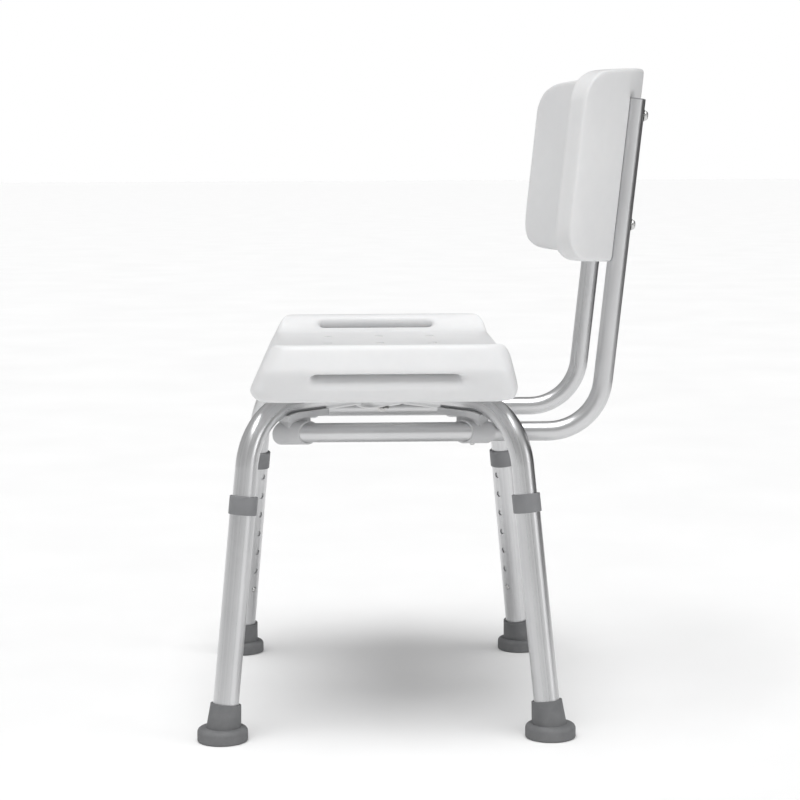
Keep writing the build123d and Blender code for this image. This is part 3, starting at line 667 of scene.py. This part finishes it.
NYLON_GREYS = {
    "bracket_plastic": ((0.50, 0.503, 0.51), (0.58, 0.583, 0.59)),
    "collar_plastic": ((0.19, 0.193, 0.2), (0.24, 0.243, 0.25)),
}


LEG_MIN_X = 0.05  # metres: the legs' middles lie further out than this, and the bows' do not


def dress_frame():
    """Gives every CAD node the finish of its slot."""
    diagonal = Vector((FOOT_X, FOOT_Y, 0.0)).normalized()
    tubes = {
        "x": anodised_tube("anodised_tube_back", (1.0, 0.0, 0.0)),
        "rising": anodised_tube("anodised_tube_rising", (-diagonal.y, diagonal.x, 0.0)),
        "falling": anodised_tube("anodised_tube_falling", (diagonal.y, diagonal.x, 0.0)),
    }
    plain = {
        "moulded_plastic": moulded_plastic(),
        "bracket_plastic": moulded_nylon("bracket_plastic", *NYLON_GREYS["bracket_plastic"]),
        "collar_plastic": moulded_nylon("collar_plastic", *NYLON_GREYS["collar_plastic"]),
        "foot_rubber": foot_rubber(),
        "bright_steel": plain_metal("bright_steel", (0.55, 0.55, 0.545), (0.68, 0.68, 0.67), 0.28),
        "spring_steel": plain_metal("spring_steel", (0.42, 0.42, 0.43), (0.52, 0.52, 0.53), 0.32),
        "insert_brass": plain_metal("insert_brass", (0.62, 0.45, 0.2), (0.72, 0.55, 0.28), 0.3),
    }
    for part in frame["record"]["subparts"]:
        node = frame["nodes"][part["node"]]
        slot = part["material_slot"]
        material = plain.get(slot)
        if slot == "anodised_tube":
            low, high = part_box(part["node"])
            middle = (low + high) / 2
            if "back" in part["node"]:
                material = tubes["x"]
            elif abs(middle.x) > LEG_MIN_X:
                same = middle.x * (middle.y - FEET_Y * MM) > 0
                material = tubes["rising" if same else "falling"]
            else:
                material = tubes[bow_direction(node)]
        node.data.materials.clear()
        node.data.materials.append(material)
    return plain


def bow_direction(node):
    """Which diagonal a bow lies along."""
    total = sum(v.co.x * (v.co.y - FEET_Y * MM) for v in node.data.vertices)
    return "rising" if total > 0 else "falling"


# Floor, light and camera


FLOOR_HALF = 80.0  # metres
FLOOR_Z = -0.0003  # metres: just clear of the soles
# Metres, seen from above: the two ends of the dark panel, and its height.
FLAG_ENDS = ((-3.2, 1.0), (1.3, 2.8))
FLAG_HEIGHT = 2.4


def stage_panel(name, corners):
    """A single flat face that isn't part of the chair."""
    mesh = bpy.data.meshes.new(name)
    mesh.from_pydata(corners, [], [(0, 1, 2, 3)])
    panel = bpy.data.objects.new(name, mesh)
    bpy.context.scene.collection.objects.link(panel)
    return panel


def make_floor():
    size, low = FLOOR_HALF, FLOOR_Z
    corners = [(-size, -size, low), (size, -size, low), (size, size, low), (-size, size, low)]
    floor = stage_panel("floor", corners)
    finish = Finish("pale_floor")
    clouds = finish.noise(3.0, 3.0)
    finish.colour(finish.mix(finish.spread(clouds, 0.0, 1.0), (0.9, 0.9, 0.9), (0.93, 0.93, 0.93)))
    finish.roughness(finish.spread(finish.noise(20.0), 0.75, 0.9))
    floor.data.materials.append(finish.material)


def sun_light(name, source, spread, power):
    """Even light from a direction, as soft as a wide panel."""
    data = bpy.data.lights.new(name, "SUN")
    data.angle = radians(spread)
    data.energy = power
    light = bpy.data.objects.new(name, data)
    light.rotation_euler = Vector(source).to_track_quat("Z", "Y").to_euler()
    bpy.context.scene.collection.objects.link(light)


def make_flag():
    """A dark panel that only reflections see, for the dark edges of the tubes."""
    first, second = FLAG_ENDS
    corners = [(*first, 0.0), (*second, 0.0), (*second, FLAG_HEIGHT), (*first, FLAG_HEIGHT)]
    flag = stage_panel("dark_flag", corners)
    finish = Finish("flag_cloth")
    finish.colour(finish.mix(finish.noise(30.0), (0.02, 0.02, 0.02), (0.04, 0.04, 0.04)))
    finish.roughness(finish.spread(finish.noise(60.0), 0.8, 0.95))
    flag.data.materials.append(finish.material)
    flag.visible_camera = False
    flag.visible_diffuse = False
    flag.visible_shadow = False


STUDIO_LIGHT = 0.5
DARK_LIGHT = 0.06
DARK_SIDE = (-0.87, 0.5, 0.0)  # the studio is dark on this side, behind the chair
DARK_SPREAD = (0.35, 0.85)  # cosines from that side between which the light fades
SUNS = (  # name, direction it comes from, spread in degrees, strength
    ("overhead", (0.25, -0.05, 1.0), 42.0, 2.1),
    ("side", (0.4, 1.0, 0.3), 30.0, 0.5),
)


def make_light():
    """A white background to the camera, a dimmer soft light to the chair, and two wide suns."""
    world = bpy.data.worlds.new("studio")
    bpy.context.scene.world = world
    world.use_nodes = True
    tree = world.node_tree
    tree.nodes.clear()
    seen = tree.nodes.new("ShaderNodeBackground")
    seen.inputs["Color"].default_value = (1.0, 1.0, 1.0, 1.0)
    seen.inputs["Strength"].default_value = 1.0
    light = tree.nodes.new("ShaderNodeBackground")
    light.inputs["Strength"].default_value = 1.0
    direction = tree.nodes.new("ShaderNodeTexCoord").outputs["Generated"]
    towards = tree.nodes.new("ShaderNodeVectorMath")
    towards.operation = "DOT_PRODUCT"
    towards.inputs[1].default_value = DARK_SIDE
    tree.links.new(direction, towards.inputs[0])
    fade = tree.nodes.new("ShaderNodeMapRange")
    fade.interpolation_type = "SMOOTHSTEP"
    fade.inputs["From Min"].default_value = DARK_SPREAD[0]
    fade.inputs["From Max"].default_value = DARK_SPREAD[1]
    fade.inputs["To Min"].default_value = STUDIO_LIGHT
    fade.inputs["To Max"].default_value = DARK_LIGHT
    tree.links.new(towards.outputs["Value"], fade.inputs["Value"])
    tree.links.new(fade.outputs["Result"], light.inputs["Color"])
    path = tree.nodes.new("ShaderNodeLightPath")
    mix = tree.nodes.new("ShaderNodeMixShader")
    output = tree.nodes.new("ShaderNodeOutputWorld")
    tree.links.new(path.outputs["Is Camera Ray"], mix.inputs["Fac"])
    tree.links.new(light.outputs["Background"], mix.inputs[1])
    tree.links.new(seen.outputs["Background"], mix.inputs[2])
    tree.links.new(mix.outputs["Shader"], output.inputs["Surface"])
    for sun in SUNS:
        sun_light(*sun)
    bpy.context.scene.view_settings.view_transform = "Standard"


CAMERA_TURN = (0.0249, 0.1149, -0.0046)  # yaw from the -X direction, pitch down, roll
CAMERA_PLACE = (2.44492, -0.03833, 0.6361)  # metres, from the floor between the four feet
PICTURE = 800  # width of the rendered picture, the unit of the next two
CAMERA_FOCUS = 2051.516
CAMERA_SHIFT = (-0.8171, 1.5574)
SENSOR = 36.0


def make_camera():
    yaw, pitch, roll = CAMERA_TURN
    forward = Vector((-cos(pitch) * cos(yaw), cos(pitch) * sin(yaw), -sin(pitch)))
    level = forward.cross(Vector((0, 0, 1))).normalized()
    rise = level.cross(forward)
    right = level * cos(roll) + rise * sin(roll)
    up = rise * cos(roll) - level * sin(roll)
    data = bpy.data.cameras.new("camera")
    data.sensor_width = SENSOR
    data.lens = CAMERA_FOCUS / PICTURE * SENSOR
    data.shift_x = CAMERA_SHIFT[0] / PICTURE
    data.shift_y = CAMERA_SHIFT[1] / PICTURE
    data.clip_end = 200.0
    camera = bpy.data.objects.new("camera", data)
    turn = Matrix((right, up, -forward)).transposed().to_4x4()
    x, y, z = CAMERA_PLACE
    place = Vector((x, y + FEET_Y * MM, z))
    camera.matrix_world = Matrix.Translation(place) @ turn
    bpy.context.scene.collection.objects.link(camera)
    bpy.context.scene.camera = camera


finishes = dress_frame()
make_seat(finishes["moulded_plastic"])
make_backrest(finishes["moulded_plastic"])
make_floor()
make_flag()
make_light()
make_camera()
